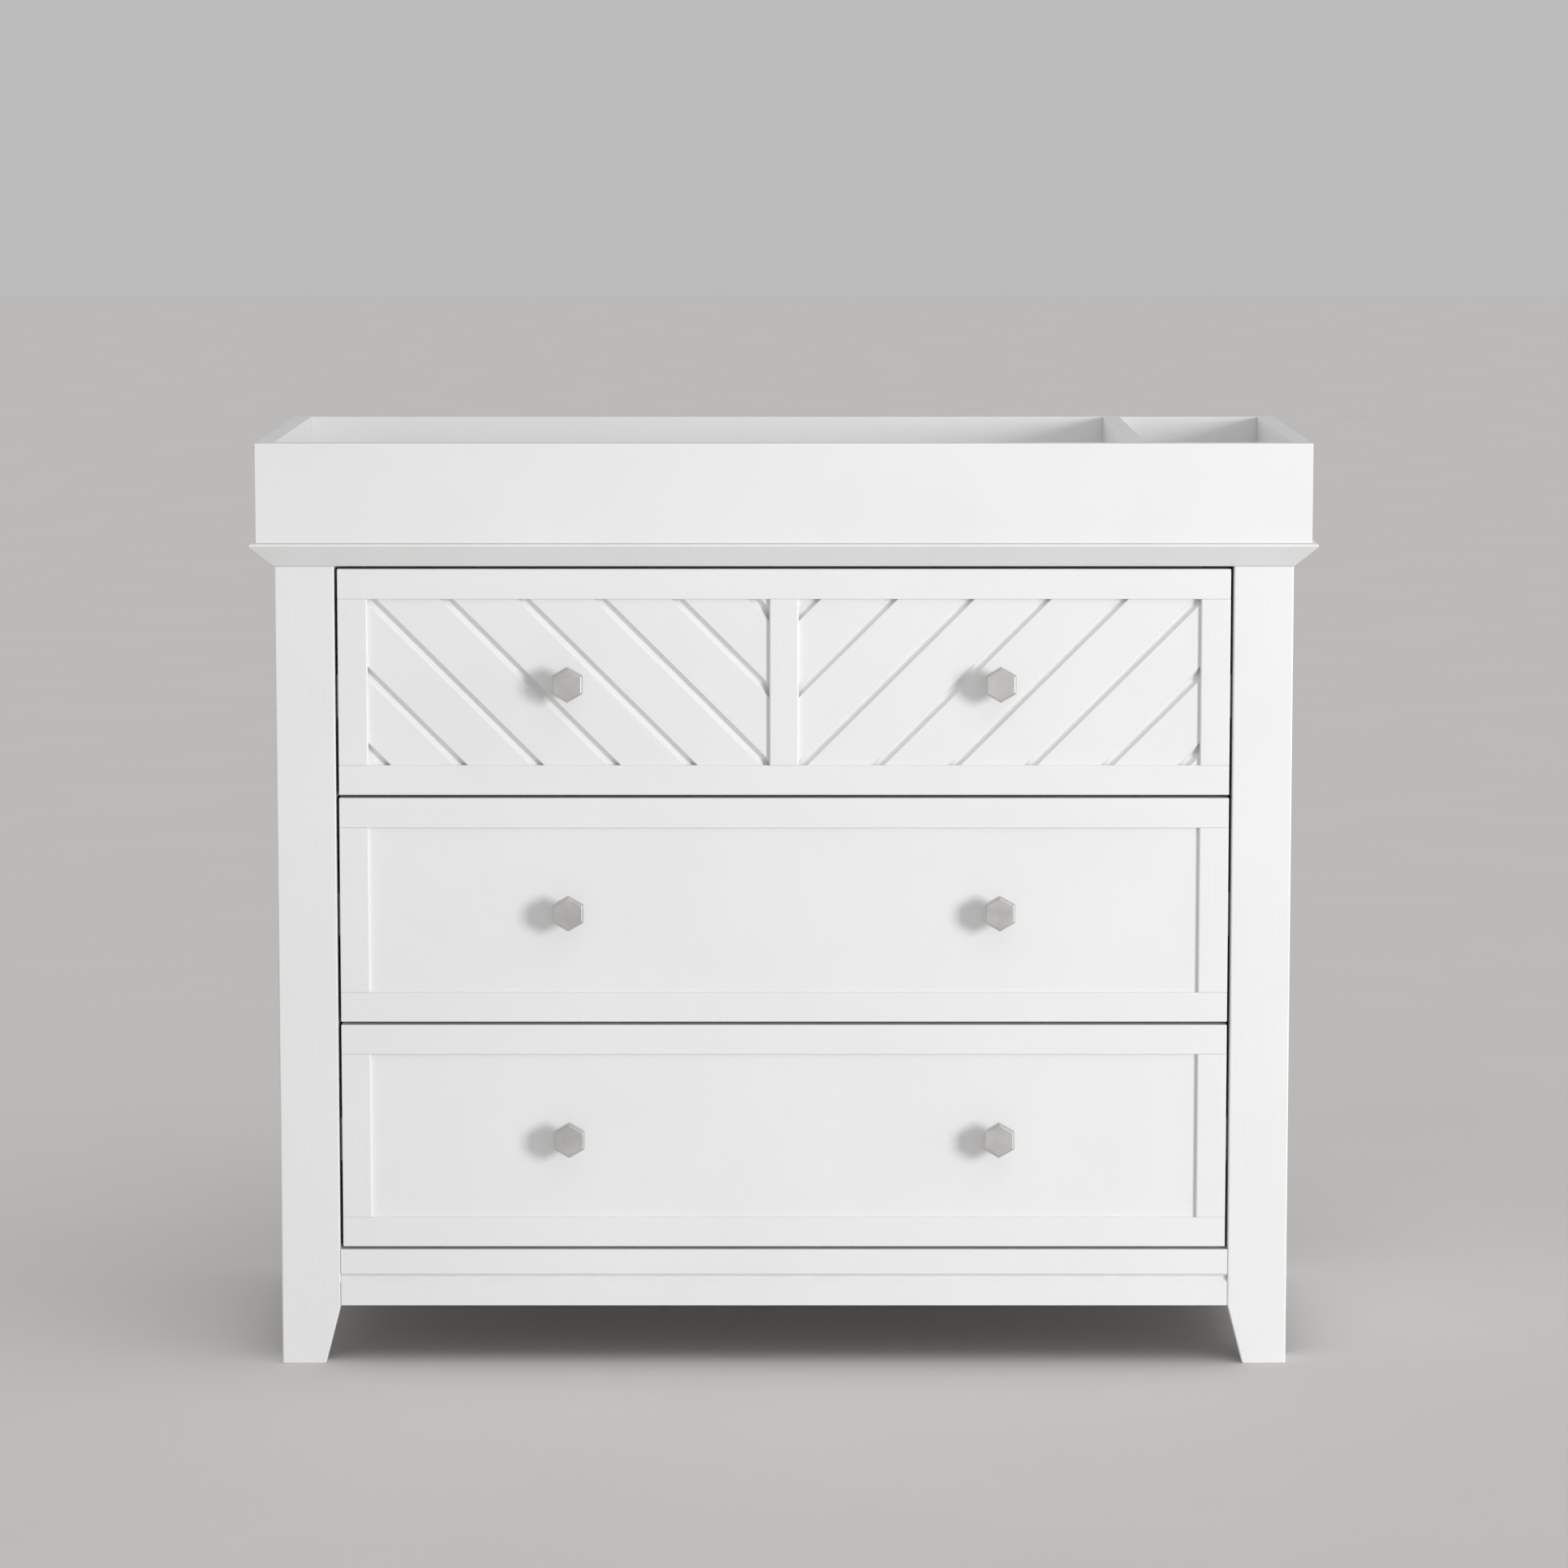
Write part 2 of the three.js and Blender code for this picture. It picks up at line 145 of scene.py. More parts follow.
def start_finish(name, roughness, metallic=0.0):
    """A new finish: its material, its nodes and its surface shader."""
    material = bpy.data.materials.new(name)
    material.use_nodes = True
    tree = material.node_tree
    surface = tree.nodes["Principled BSDF"]
    surface.inputs["Roughness"].default_value = roughness
    surface.inputs["Metallic"].default_value = metallic
    return material, tree, surface


def grain(tree, scale, detail=3.0, stretch=(1, 1, 1)):
    """Fine mottling in the piece's own coordinates, drawn out along an axis by stretch."""
    place = tree.nodes.new("ShaderNodeTexCoord")
    mapping = tree.nodes.new("ShaderNodeMapping")
    mapping.inputs["Scale"].default_value = stretch
    noise = tree.nodes.new("ShaderNodeTexNoise")
    noise.inputs["Scale"].default_value = scale
    noise.inputs["Detail"].default_value = detail
    tree.links.new(place.outputs["Object"], mapping.inputs["Vector"])
    tree.links.new(mapping.outputs["Vector"], noise.inputs["Vector"])
    return noise.outputs["Fac"]


def ramp(tree, factor, low, high, start=0.3, end=0.7):
    """A colour that runs from low to high as factor goes from start to end."""
    node = tree.nodes.new("ShaderNodeValToRGB")
    stops = node.color_ramp.elements
    stops[0].position, stops[1].position = start, end
    stops[0].color, stops[1].color = (*low, 1), (*high, 1)
    tree.links.new(factor, node.inputs["Fac"])
    return node.outputs["Color"]


MOTTLING_RANGE = (0.25, 0.75)


def spread(tree, factor, low, high):
    """A number that runs from low to high over the range that mottling takes."""
    node = tree.nodes.new("ShaderNodeMapRange")
    node.inputs["From Min"].default_value = MOTTLING_RANGE[0]
    node.inputs["From Max"].default_value = MOTTLING_RANGE[1]
    node.inputs["To Min"].default_value = low
    node.inputs["To Max"].default_value = high
    tree.links.new(factor, node.inputs["Value"])
    return node.outputs["Result"]


def relief(tree, surface, height, distance, under=None):
    """Raises the surface by height, over the relief that under gives."""
    node = tree.nodes.new("ShaderNodeBump")
    node.inputs["Distance"].default_value = distance
    tree.links.new(height, node.inputs["Height"])
    if under is not None:
        tree.links.new(under, node.inputs["Normal"])
    tree.links.new(node.outputs["Normal"], surface.inputs["Normal"])
    return node.outputs["Normal"]


# A mix node has several sockets called A, B and Result. These are its colour ones.
MIX_A, MIX_B, MIX_RESULT = 6, 7, 2


def mixed(tree, factor, under, over):
    """The colour under where factor is 0, turning to the plain colour over where it is 1."""
    node = tree.nodes.new("ShaderNodeMix")
    node.data_type = "RGBA"
    tree.links.new(factor, node.inputs["Factor"])
    tree.links.new(under, node.inputs[MIX_A])
    node.inputs[MIX_B].default_value = (*over, 1)
    return node.outputs[MIX_RESULT]


def times(tree, first, second):
    """The product of two numbers."""
    node = tree.nodes.new("ShaderNodeMath")
    node.operation = "MULTIPLY"
    tree.links.new(first, node.inputs[0])
    tree.links.new(second, node.inputs[1])
    return node.outputs["Value"]


PAINT_LIGHT = (0.838, 0.838, 0.842)
PAINT_DARK = (0.812, 0.812, 0.815)
PAINT_THIN = (0.74, 0.735, 0.72)
PAINT_ROUGHNESS = (0.36, 0.46)
PAINT_COAT = 0.12
PAINT_COAT_ROUGHNESS = 0.3
PAINT_WEAR = 0.45
ORANGE_PEEL = 0.00003
GRAIN_RELIEF = 0.00012


def white_paint(name, wood_grain=None):
    """Sprayed satin lacquer: orange peel, faint mottling, thinner on the rounded edges.
    wood_grain is the stretch of the grain that shows through on solid wood."""
    material, tree, surface = start_finish(name, roughness=0.4)
    surface.inputs["Coat Weight"].default_value = PAINT_COAT
    surface.inputs["Coat Roughness"].default_value = PAINT_COAT_ROUGHNESS
    body_colour = ramp(tree, grain(tree, scale=7.0, detail=4.0), PAINT_DARK, PAINT_LIGHT)
    edge = tree.nodes.new("ShaderNodeAttribute")
    edge.attribute_name = "edge"
    patches = spread(tree, grain(tree, scale=60.0), 0.0, PAINT_WEAR)
    rubbed = times(tree, edge.outputs["Fac"], patches)
    tree.links.new(mixed(tree, rubbed, body_colour, PAINT_THIN), surface.inputs["Base Color"])
    satin = spread(tree, grain(tree, scale=35.0), *PAINT_ROUGHNESS)
    tree.links.new(satin, surface.inputs["Roughness"])
    peel = relief(tree, surface, grain(tree, scale=650.0, detail=1.0), ORANGE_PEEL)
    if wood_grain:
        figure = grain(tree, scale=40.0, detail=6.0, stretch=wood_grain)
        relief(tree, surface, figure, GRAIN_RELIEF, under=peel)
    return material


upright_paint = white_paint("white_paint_upright_grain", wood_grain=(9, 9, 0.5))

for end in ("front", "back"):
    for hand, sign in SIDES.items():
        low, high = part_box(f"{end}_leg_{hand}")
        corner_x = low.x if sign < 0 else high.x
        corner_y = low.y if end == "front" else high.y
        inward_y = 1 if end == "front" else -1
        arm = high.x - low.x
        rings = []
        for z, reach, ease in (
            (low.z, FOOT_WIDTH, FOOT_EASE),
            (low.z + FOOT_EASE, FOOT_WIDTH, 0),
            (low.z + TAPER_HEIGHT, arm, 0),
            (high.z, arm, 0),
        ):
            thick = LEG_BOARD - ease
            tip = reach - ease
            corners = [
                (ease, ease), (tip, ease), (tip, thick),
                (thick, thick), (thick, tip), (ease, tip),
            ]
            radii = [LEG_ROUNDING, LEG_ROUNDING, LEG_INNER_ROUNDING] * 2
            rings.append([
                (corner_x - sign * u, corner_y + inward_y * v, z)
                for u, v in rounded_outline(corners, radii)
            ])
        make_piece(
            f"leg_{end}_{hand}", loft(rings), "chest", upright_paint,
            stands_for=[f"{end}_leg_{hand}"], creases=[low.z + TAPER_HEIGHT],
        )


# Side panels and runner boards ----------------------------------------------------------------
# The outer side panels are painted fibreboard, set back a little between the legs. The runner
# boards inside them stand flush with the legs' inner edges and carry the drawer slides.

PANEL_EASE = 0.0006


def add_block(shape, low, high):
    """Adds a square-edged block between two corners to a shape."""
    for vert in bmesh.ops.create_cube(shape, size=1)["verts"]:
        vert.co = Vector([h if c > 0 else l for c, l, h in zip(vert.co, low, high)])


def eased_board(low, high, ease):
    """A board between two corners with every edge rounded over."""
    shape = bmesh.new()
    add_block(shape, low, high)
    bmesh.ops.bevel(shape, geom=shape.edges[:], offset=ease, segments=3, profile=0.5, affect="EDGES")
    return shape


board_paint = white_paint("white_paint_on_board")

for hand in SIDES:
    for node, name in (
        (f"side_panel_{hand}", f"outer_side_{hand}"),
        (f"runner_board_{hand}", f"slide_runner_board_{hand}"),
    ):
        low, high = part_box(node)
        make_piece(
            name, eased_board(low, high, PANEL_EASE), "chest", board_paint, stands_for=[node]
        )


# Apron and base panel -------------------------------------------------------------------------
# The apron is a painted wood board under the bottom drawer, with one routed groove along its whole
# length, deepest a little above its middle. The base panel behind it is a plain painted board that
# closes the case below.

APRON_GROOVE = (0.0237, 0.0328)
APRON_GROOVE_DEPTH = 0.0065
APRON_ROOT_BELOW_TOP = 0.0042
APRON_ROOT_ROUNDING = 0.0026
APRON_ROUNDING = 0.0006
BASE_EASE = 0.0006

level_paint = white_paint("white_paint_level_grain", wood_grain=(0.5, 9, 9))

low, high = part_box("front_apron")
groove_low, groove_high = (low.z + z for z in APRON_GROOVE)
groove_root = (low.y + APRON_GROOVE_DEPTH, groove_high - APRON_ROOT_BELOW_TOP)
section = rounded_outline(
    [
        (low.y, low.z), (low.y, groove_low), groove_root,
        (low.y, groove_high), (low.y, high.z), (high.y, high.z), (high.y, low.z),
    ],
    [APRON_ROUNDING] * 2 + [APRON_ROOT_ROUNDING] + [APRON_ROUNDING] * 4,
)
make_piece(
    "apron", loft([[(x, y, z) for y, z in section] for x in (low.x, high.x)]),
    "chest", level_paint, stands_for=["front_apron"],
)
low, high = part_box("base_panel")
make_piece(
    "case_base", eased_board(low, high, BASE_EASE), "chest", board_paint,
    stands_for=["base_panel"],
)


# Back -----------------------------------------------------------------------------------------
# The back is one sheet of hardboard, white-faced inside and raw outside, nailed along the base
# panel. The painted wood rail over it takes the screws of a wall strap.

HARDBOARD_DARK = (0.235, 0.140, 0.072)
HARDBOARD_LIGHT = (0.345, 0.220, 0.120)
HARDBOARD_FACE = (0.80, 0.80, 0.785)
RAW_ROUGHNESS = 0.78
FACED_ROUGHNESS = 0.42
CLOUD_SHARE = 0.4
FIBRE_RELIEF = 0.00012
SCREEN_CELLS_PER_METRE = 1400.0
SCREEN_RELIEF = 0.00005
FACING_LIMIT = 0.5
NAIL_RADIUS = 0.0026
NAIL_HEIGHT = 0.0012
NAIL_COUNT = 9
RAIL_EASE = 0.0008


def facing(tree, axis):
    """1 where the surface faces along an axis, 0 elsewhere."""
    place = tree.nodes.new("ShaderNodeNewGeometry")
    dot = tree.nodes.new("ShaderNodeVectorMath")
    dot.operation = "DOT_PRODUCT"
    dot.inputs[1].default_value = axis
    above = tree.nodes.new("ShaderNodeMath")
    above.operation = "GREATER_THAN"
    above.inputs[1].default_value = FACING_LIMIT
    tree.links.new(place.outputs["Normal"], dot.inputs[0])
    tree.links.new(dot.outputs["Value"], above.inputs[0])
    return above.outputs["Value"]


def hardboard(name, faced):
    """Pressed wood fibre with the print of its screen, white on the side that faces along faced."""
    material, tree, surface = start_finish(name, roughness=0.7)
    fibre = ramp(tree, grain(tree, scale=220.0, detail=6.0), HARDBOARD_DARK, HARDBOARD_LIGHT)
    cloud = ramp(tree, grain(tree, scale=14.0), HARDBOARD_DARK, HARDBOARD_LIGHT, start=0.1, end=0.9)
    brown = tree.nodes.new("ShaderNodeMix")
    brown.data_type = "RGBA"
    brown.inputs["Factor"].default_value = CLOUD_SHARE
    tree.links.new(fibre, brown.inputs[MIX_A])
    tree.links.new(cloud, brown.inputs[MIX_B])
    white = facing(tree, faced)
    colour = mixed(tree, white, brown.outputs[MIX_RESULT], HARDBOARD_FACE)
    tree.links.new(colour, surface.inputs["Base Color"])
    tree.links.new(spread(tree, white, RAW_ROUGHNESS, FACED_ROUGHNESS), surface.inputs["Roughness"])
    fuzz = relief(tree, surface, grain(tree, scale=500.0, detail=4.0), FIBRE_RELIEF)
    screen = tree.nodes.new("ShaderNodeTexVoronoi")
    screen.inputs["Scale"].default_value = SCREEN_CELLS_PER_METRE
    screen.inputs["Randomness"].default_value = 0.15
    place = tree.nodes.new("ShaderNodeTexCoord")
    tree.links.new(place.outputs["Object"], screen.inputs["Vector"])
    relief(tree, surface, screen.outputs["Distance"], SCREEN_RELIEF, under=fuzz)
    return material


def finish_node(name, finish):
    """A CAD part that keeps its shape takes its finish."""
    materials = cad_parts[name].data.materials
    materials.clear()
    materials.append(finish)


def turned(shape, centre, axis, profile, sides):
    """Turns a profile of (radius, distance) round an axis through centre, and closes both ends."""
    axis = Vector(axis).normalized()
    across = axis.orthogonal().normalized()
    other = axis.cross(across)
    turns = [2 * math.pi * i / sides for i in range(sides)]
    spokes = [across * math.cos(turn) + other * math.sin(turn) for turn in turns]
    rows = []
    for radius, distance in profile:
        middle = Vector(centre) + axis * distance
        rows.append([shape.verts.new(middle + radius * spoke) for spoke in spokes])
    for lower, upper in zip(rows, rows[1:]):
        for i in range(sides):
            j = (i + 1) % sides
            shape.faces.new((lower[i], lower[j], upper[j], upper[i]))
    shape.faces.new(list(reversed(rows[0])))
    shape.faces.new(rows[-1])
    return rows


DOME = [(1.0, 0.0), (1.0, 0.35), (0.93, 0.62), (0.75, 0.85), (0.45, 0.97), (0.15, 1.0)]


def domed_heads(places, axis, radius, height, sides=20):
    """Round nail or screw heads, all facing along one axis."""
    shape = bmesh.new()
    for place in places:
        turned(shape, place, axis, [(radius * r, height * h) for r, h in DOME], sides)
    return shape


PLATING_SMOOTHER = 0.06
PLATING_ROUGHER = 0.08
PLATING_RELIEF = 0.00003


def plated_metal(name, dark, light, roughness, stretch=(1, 1, 1)):
    """Metal with a plated or rolled surface, its fine lines drawn out by stretch."""
    material, tree, surface = start_finish(name, roughness, metallic=1.0)
    lines = grain(tree, scale=260.0, detail=4.0, stretch=stretch)
    tree.links.new(ramp(tree, lines, dark, light), surface.inputs["Base Color"])
    sheen = spread(tree, lines, roughness - PLATING_SMOOTHER, roughness + PLATING_ROUGHER)
    tree.links.new(sheen, surface.inputs["Roughness"])
    relief(tree, surface, lines, PLATING_RELIEF)
    return material


back_board = hardboard("hardboard_back", faced=(0, -1, 0))
finish_node("back_panel", back_board)
bright_steel = plated_metal(
    "bright_screw_steel", dark=(0.50, 0.50, 0.49), light=(0.66, 0.66, 0.65), roughness=0.32
)

low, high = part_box("base_panel")
back_low, back_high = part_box("back_panel")
nail_row = [
    (low.x + (i + 0.5) / NAIL_COUNT * (high.x - low.x), back_high.y, (low.z + high.z) / 2)
    for i in range(NAIL_COUNT)
]
make_piece(
    "back_panel_nails", domed_heads(nail_row, (0, 1, 0), NAIL_RADIUS, NAIL_HEIGHT, sides=12),
    "chest", bright_steel,
)
low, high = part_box("back_top_rail")
make_piece(
    "strap_rail", eased_board(low, high, RAIL_EASE), "chest", level_paint,
    stands_for=["back_top_rail"],
)


# Top panel ------------------------------------------------------------------------------------
# The top is one thick fibreboard panel. A thin rounded lip runs round the front and sides, over
# a moulding that slopes back under it to the legs; the back edge is cut straight.

LIP_OVERHANG = 0.0225
LIP_HEIGHT = 0.003
LIP_ROUNDING = 0.002
LIP_STEPS = 6
SLOPE_EASE = 0.0005

low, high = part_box("top_panel")
edge = [(0, low.z), (LIP_OVERHANG - SLOPE_EASE, high.z - LIP_HEIGHT - SLOPE_EASE)]
edge.append((LIP_OVERHANG, high.z - LIP_HEIGHT + SLOPE_EASE))
for step in range(LIP_STEPS + 1):
    turn = step / LIP_STEPS * math.pi / 2
    out = LIP_OVERHANG - LIP_ROUNDING * (1 - math.cos(turn))
    edge.append((out, high.z - LIP_ROUNDING * (1 - math.sin(turn))))
rings = []
for out, z in edge:
    pull = LIP_OVERHANG - out
    rings.append([
        (low.x + pull, high.y, z), (low.x + pull, low.y + pull, z),
        (high.x - pull, low.y + pull, z), (high.x - pull, high.y, z),
    ])
make_piece("chest_top", loft(rings), "chest", board_paint, stands_for=["top_panel"])


# Drawer slides --------------------------------------------------------------------------------
# Each drawer runs on a pair of full-extension slides: three nested channels of folded zinc-plated
# steel that roll on steel balls. The screws and the black release lever show when a drawer is out.

LEVELS = ("bottom", "middle", "top")
SLIDE_STEEL = 0.0012
BEND_OUTSIDE = 0.0016
BEND_INSIDE = 0.0005
EDGE_ROUNDING = 0.0005
BALL_RADIUS = 0.00135
BALL_PITCH = 0.013
CAGE_THICKNESS = 0.0005
CAGE_WIDTH = 0.0046
# With the drawer shut, the outer cages lie at the back and the inner ones at the front.
OUTER_CAGE = (0.020, 0.170)
INNER_CAGE = (-0.180, -0.030)
SLIDE_SCREW_RADIUS = 0.0037
SLIDE_SCREW_HEIGHT = 0.0017
SLIDE_SCREWS = (0.035, 0.100, 0.360)
LEVER_SPAN = (0.140, 0.182)
LEVER_HALF_HEIGHT = 0.006
LEVER_THICKNESS = 0.0022
LEVER_EASE = 0.0008
LEVER_DARK = (0.016, 0.016, 0.017)
LEVER_LIGHT = (0.030, 0.030, 0.032)
MOULDED_RELIEF = 0.00002


def channel_section(low, high, web_x, lip_x):
    """The folded channel seen from its end: a web at web_x and two flanges out to lip_x."""
    out = 1 if lip_x > web_x else -1
    inside = web_x + out * SLIDE_STEEL
    corners = [
        (web_x, low.z), (lip_x, low.z), (lip_x, low.z + SLIDE_STEEL), (inside, low.z + SLIDE_STEEL),
        (inside, high.z - SLIDE_STEEL), (lip_x, high.z - SLIDE_STEEL), (lip_x, high.z), (web_x, high.z),
    ]
    radii = [
        BEND_OUTSIDE, EDGE_ROUNDING, EDGE_ROUNDING, BEND_INSIDE,
        BEND_INSIDE, EDGE_ROUNDING, EDGE_ROUNDING, BEND_OUTSIDE,
    ]
    return rounded_outline(corners, radii, steps=3)


SCREW_RIM = [(1.0, 0.0), (1.0, 0.45), (0.92, 0.75), (0.74, 1.0)]
SCREW_SIDES = 20
RECESS_ARM = 0.5
RECESS_HALF_WIDTH = 0.13
RECESS_FLOOR = 0.35


def screw_heads(places, axis, radius, height):
    """Pan-head screws with a cross recess, all facing along one axis. The recess is given as
    shares of the head's radius and height."""
    shape = bmesh.new()
    axis = Vector(axis)
    across = axis.orthogonal().normalized()
    other = axis.cross(across)
    arm, half = radius * RECESS_ARM, radius * RECESS_HALF_WIDTH
    cross = [
        (arm, -half), (arm, half), (half, half), (half, arm), (-half, arm), (-half, half),
        (-arm, half), (-arm, -half), (-half, -half), (-half, -arm), (half, -arm), (half, -half),
    ]
    rim = [(radius * r, height * h) for r, h in SCREW_RIM]
    for place in places:
        rows = turned(shape, place, axis, rim, SCREW_SIDES)
        shape.faces.remove(next(f for f in rows[-1][0].link_faces if len(f.verts) == SCREW_SIDES))
        levels = []
        for share in (1.0, RECESS_FLOOR):
            levels.append([
                shape.verts.new(Vector(place) + axis * height * share + across * a + other * b)
                for a, b in cross
            ])
        mouth, floor = levels
        for i in range(len(cross)):
            j = (i + 1) % len(cross)
            shape.faces.new((mouth[i], mouth[j], floor[j], floor[i]))
        shape.faces.new(floor)
        edges = [
            shape.edges.get((row[i - 1], row[i])) for row in (rows[-1], mouth) for i in range(len(row))
        ]
        bmesh.ops.triangle_fill(shape, use_beauty=True, edges=edges, normal=axis)
    return shape


def ball_race(shape, x, z, span):
    """A row of balls in their cage, from the start to the end of span."""
    cage_low = (x - CAGE_WIDTH / 2, span[0], z - CAGE_THICKNESS / 2)
    cage_high = (x + CAGE_WIDTH / 2, span[1], z + CAGE_THICKNESS / 2)
    add_block(shape, cage_low, cage_high)
    count = int((span[1] - span[0]) / BALL_PITCH)
    for i in range(count):
        ball = bmesh.ops.create_icosphere(shape, subdivisions=2, radius=BALL_RADIUS)["verts"]
        for vert in ball:
            vert.co += Vector((x, span[0] + (i + 0.5) * BALL_PITCH, z))


def black_moulding(name):
    """Hard black plastic with a fine spark-eroded texture."""
    material, tree, surface = start_finish(name, roughness=0.5)
    colour = ramp(tree, grain(tree, scale=90.0), LEVER_DARK, LEVER_LIGHT)
    tree.links.new(colour, surface.inputs["Base Color"])
    relief(tree, surface, grain(tree, scale=1500.0, detail=2.0), MOULDED_RELIEF)
    return material


slide_steel = plated_metal(
    "zinc_plated_slide", dark=(0.50, 0.51, 0.53), light=(0.64, 0.65, 0.67), roughness=0.34,
    stretch=(1, 0.03, 1),
)
ball_steel = plated_metal(
    "steel_balls", dark=(0.60, 0.60, 0.61), light=(0.70, 0.70, 0.71), roughness=0.14
)
lever_plastic = black_moulding("black_lever_plastic")

for level in LEVELS:
    for hand, sign in SIDES.items():
        members = {"case": "chest", "middle": f"{level}_slide_middle", "drawer": f"{level}_drawer"}
        boxes = {}
        for member, body in members.items():
            node = f"{level}_slide_{hand}_{member}_member"
            low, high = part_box(node)
            boxes[member] = (low, high)
            case_x, drawer_x = (high.x, low.x) if sign > 0 else (low.x, high.x)
            web_x, lip_x = (drawer_x, case_x) if member == "drawer" else (case_x, drawer_x)
            section = channel_section(low, high, web_x, lip_x)
            make_piece(
                f"{level}_{hand}_slide_{member}_channel",
                loft([[(x, y, z) for x, z in section] for y in (low.y, high.y)]),
                body, slide_steel, stands_for=[node],
            )
        case_low, case_high = boxes["case"]
        mid_low, mid_high = boxes["middle"]
        run_low, run_high = boxes["drawer"]
        centre_z = (case_low.z + case_high.z) / 2
        outer_z = (case_high.z - SLIDE_STEEL + mid_high.z) / 2 - centre_z
        inner_z = (mid_high.z - SLIDE_STEEL + run_high.z) / 2 - centre_z
        outer_x = (max(case_low.x, mid_low.x) + min(case_high.x, mid_high.x)) / 2
        inner_x = (max(run_low.x, mid_low.x) + min(run_high.x, mid_high.x)) / 2
        races = bmesh.new()
        for up in (-1, 1):
            ball_race(races, outer_x, centre_z + up * outer_z, OUTER_CAGE)
            ball_race(races, inner_x, centre_z + up * inner_z, INNER_CAGE)
        make_piece(f"{level}_{hand}_slide_balls", races, members["middle"], ball_steel)
        # The screws and the lever stand inside the drawer member's channel, on its web.
        seat_x = run_high.x - SLIDE_STEEL if sign < 0 else run_low.x + SLIDE_STEEL
        heads = [(seat_x, run_low.y + along, centre_z) for along in SLIDE_SCREWS]
        make_piece(
            f"{level}_{hand}_slide_screws",
            screw_heads(heads, (sign, 0, 0), SLIDE_SCREW_RADIUS, SLIDE_SCREW_HEIGHT),
            members["drawer"], bright_steel,
        )
        lever_x = sorted((seat_x, seat_x + sign * LEVER_THICKNESS))
        lever = eased_board(
            (lever_x[0], run_low.y + LEVER_SPAN[0], centre_z - LEVER_HALF_HEIGHT),
            (lever_x[1], run_low.y + LEVER_SPAN[1], centre_z + LEVER_HALF_HEIGHT),
            LEVER_EASE,
        )
        make_piece(
            f"{level}_{hand}_slide_release", lever, members["drawer"], lever_plastic
        )


# Drawer boxes ---------------------------------------------------------------------------------
# Each box is three foil-faced boards round a loose hardboard base. Cams under round covers hold
# the sides to the drawer's front, and screws through the sides hold the back.

BOX_EASE = 0.0011
CAM_COVER_RADIUS = 0.009
CAM_COVER_HEIGHT = 0.0011
CAM_SETBACK = 0.034
CAM_INSET = 0.040
BACK_SCREW_RADIUS = 0.0034
BACK_SCREW_HEIGHT = 0.0006
FOIL_DARK = (0.735, 0.730, 0.710)
FOIL_LIGHT = (0.780, 0.775, 0.755)
BOARD_CORE = (0.40, 0.29, 0.18)
FOIL_ROUGHNESS = (0.44, 0.56)
FOIL_RELIEF = 0.00006
COVER_DARK = (0.74, 0.73, 0.70)
COVER_LIGHT = (0.78, 0.77, 0.74)


def foil_board(name):
    """Fibreboard wrapped in a white foil with a printed grain; the lower edge is left raw."""
    material, tree, surface = start_finish(name, roughness=0.5)
    figure = grain(tree, scale=30.0, detail=5.0, stretch=(14, 0.8, 14))
    foil = ramp(tree, figure, FOIL_DARK, FOIL_LIGHT)
    raw = facing(tree, (0, 0, -1))
    tree.links.new(mixed(tree, raw, foil, BOARD_CORE), surface.inputs["Base Color"])
    tree.links.new(spread(tree, figure, *FOIL_ROUGHNESS), surface.inputs["Roughness"])
    relief(tree, surface, figure, FOIL_RELIEF)
    return material


def white_moulding(name):
    """White nylon, slightly warmer than the paint."""
    material, tree, surface = start_finish(name, roughness=0.42)
    colour = ramp(tree, grain(tree, scale=40.0), COVER_DARK, COVER_LIGHT)
    tree.links.new(colour, surface.inputs["Base Color"])
    relief(tree, surface, grain(tree, scale=1200.0, detail=2.0), MOULDED_RELIEF)
    return material


box_foil = foil_board("white_foil_board")
base_board = hardboard("hardboard_drawer_base", faced=(0, 0, 1))
cover_plastic = white_moulding("white_cover_plastic")

for level in LEVELS:
    body = f"{level}_drawer"
    finish_node(f"{level}_drawer_base", base_board)
    for wall in ("side_left", "side_right", "back"):
        node = f"{level}_drawer_{wall}"
        low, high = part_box(node)
        make_piece(
            f"{level}_box_{wall}", eased_board(low, high, BOX_EASE), body, box_foil,
            stands_for=[node],
        )
    back_low, back_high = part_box(f"{level}_drawer_back")
    for hand, sign in SIDES.items():
        low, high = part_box(f"{level}_drawer_side_{hand}")
        inner_x, outer_x = (high.x, low.x) if sign < 0 else (low.x, high.x)
        heights = (low.z + CAM_INSET, high.z - CAM_INSET)
        covers = [(inner_x, low.y + CAM_SETBACK, z) for z in heights]
        make_piece(
            f"{level}_{hand}_cam_covers",
            domed_heads(covers, (-sign, 0, 0), CAM_COVER_RADIUS, CAM_COVER_HEIGHT, sides=32),
            body, cover_plastic,
        )
        screws = [(outer_x, (back_low.y + back_high.y) / 2, z) for z in heights]
        make_piece(
            f"{level}_{hand}_back_screws",
            screw_heads(screws, (sign, 0, 0), BACK_SCREW_RADIUS, BACK_SCREW_HEIGHT),
            body, bright_steel,
        )


# Drawer fronts --------------------------------------------------------------------------------
# A front is two rails over the whole width, with stiles between them, slotted for a recessed
# panel and glued. The stiles' inner edges are rounded before glueing; the rails' are left crisp.

FRAME_MEMBER = 0.030
SLOT_DEPTH = 0.006
FRONT_ROUNDING = 0.0007
RAIL_INNER_ROUNDING = 0.0004
STILE_INNER_ROUNDING = 0.0020
SLOT_ROUNDING = 0.0002
BUTT_EASE = 0.00025
HAIRLINE = 0.00012
TENON_FIT = 0.0002
# The middle of a quarter round lies this share of its radius in from both faces.
MIDDLE_OF_ROUND = 0.3


